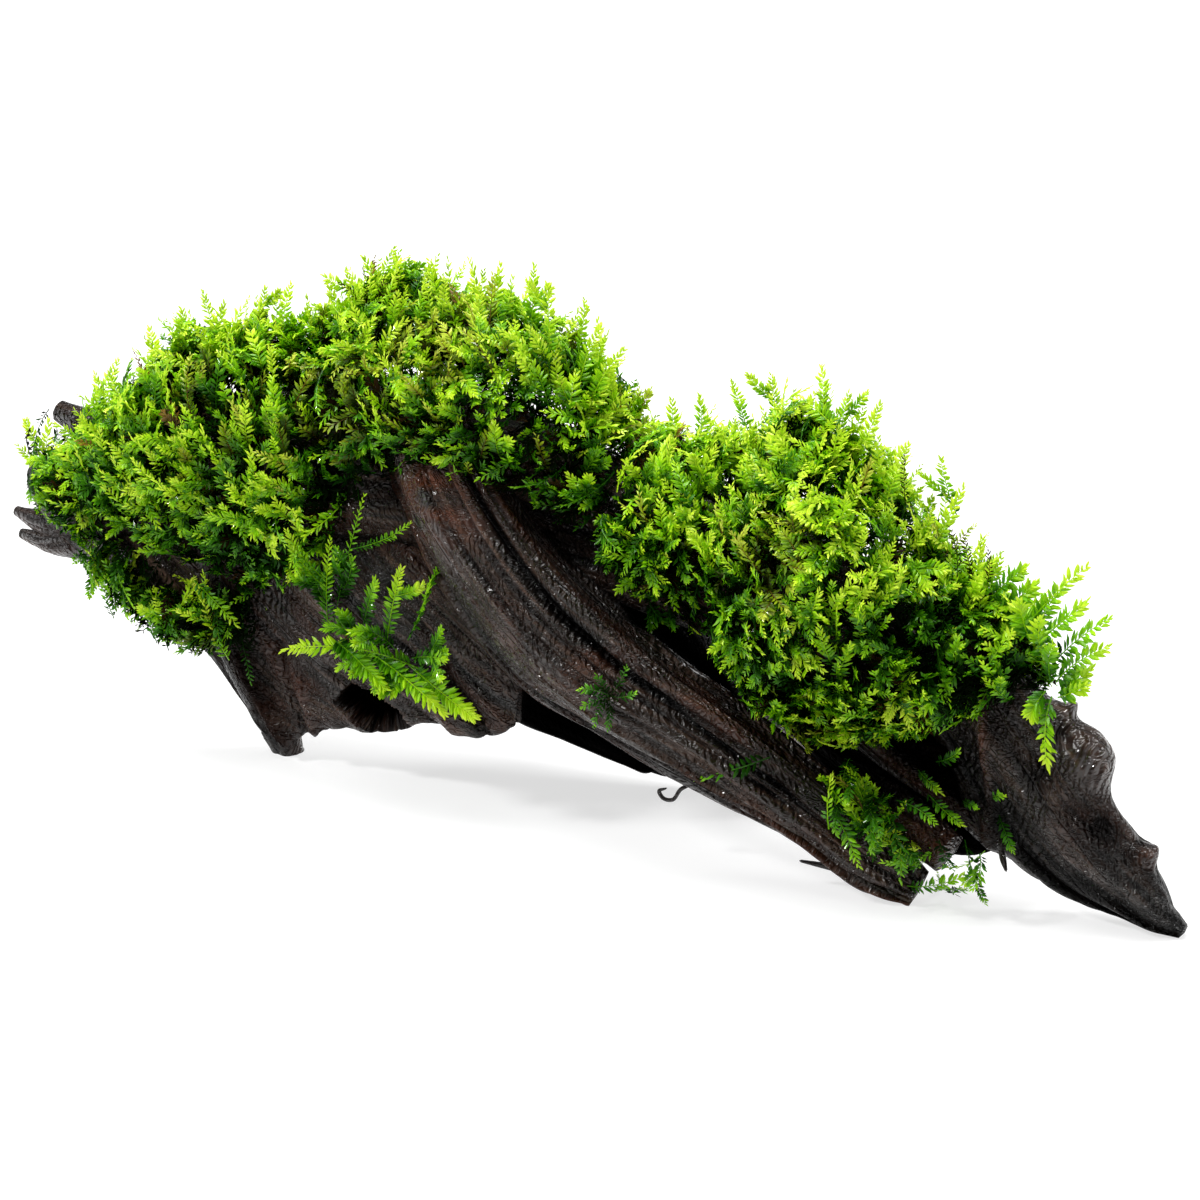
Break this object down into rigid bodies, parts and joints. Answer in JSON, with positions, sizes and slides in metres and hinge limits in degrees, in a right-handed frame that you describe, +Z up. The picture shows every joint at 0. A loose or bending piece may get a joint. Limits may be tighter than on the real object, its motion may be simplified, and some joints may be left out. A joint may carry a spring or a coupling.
{
  "type": "moss on driftwood",
  "caption": "Arched, water-worn driftwood root on splayed limbs, its top and sides grown over with feathery aquarium moss; a planted ornament and shelter for a fish tank.",
  "frame": {"origin": "on the surface that the log stands on, at the centre of its bounding box in plan", "axes": "+X along the log towards the lower limb whose tip reaches furthest out, +Y towards the back, -Y the face seen in the picture, +Z up"},
  "size_m": [0.201, 0.0438, 0.0844],
  "materials": {
    "driftwood": "waterlogged, water-worn, dark brown to black, glossy because it is wet",
    "moss": "wet, translucent leafy shoots, dark green inside and yellow-green at the tips"
  },
  "bodies": {
    "root": {"driftwood_trunk": "driftwood", "driftwood_left_foot": "driftwood", "driftwood_front_limb": "driftwood", "driftwood_right_limb": "driftwood", "driftwood_back_root": "driftwood", "driftwood_inner_root": "driftwood", "moss_left_cushion": "moss", "moss_left_fringe": "moss", "moss_crown": "moss", "moss_saddle": "moss", "moss_right_cushion": "moss", "moss_right_fronds": "moss", "moss_front_tuft": "moss", "moss_lower_tuft": "moss"}
  },
  "joints": []
}
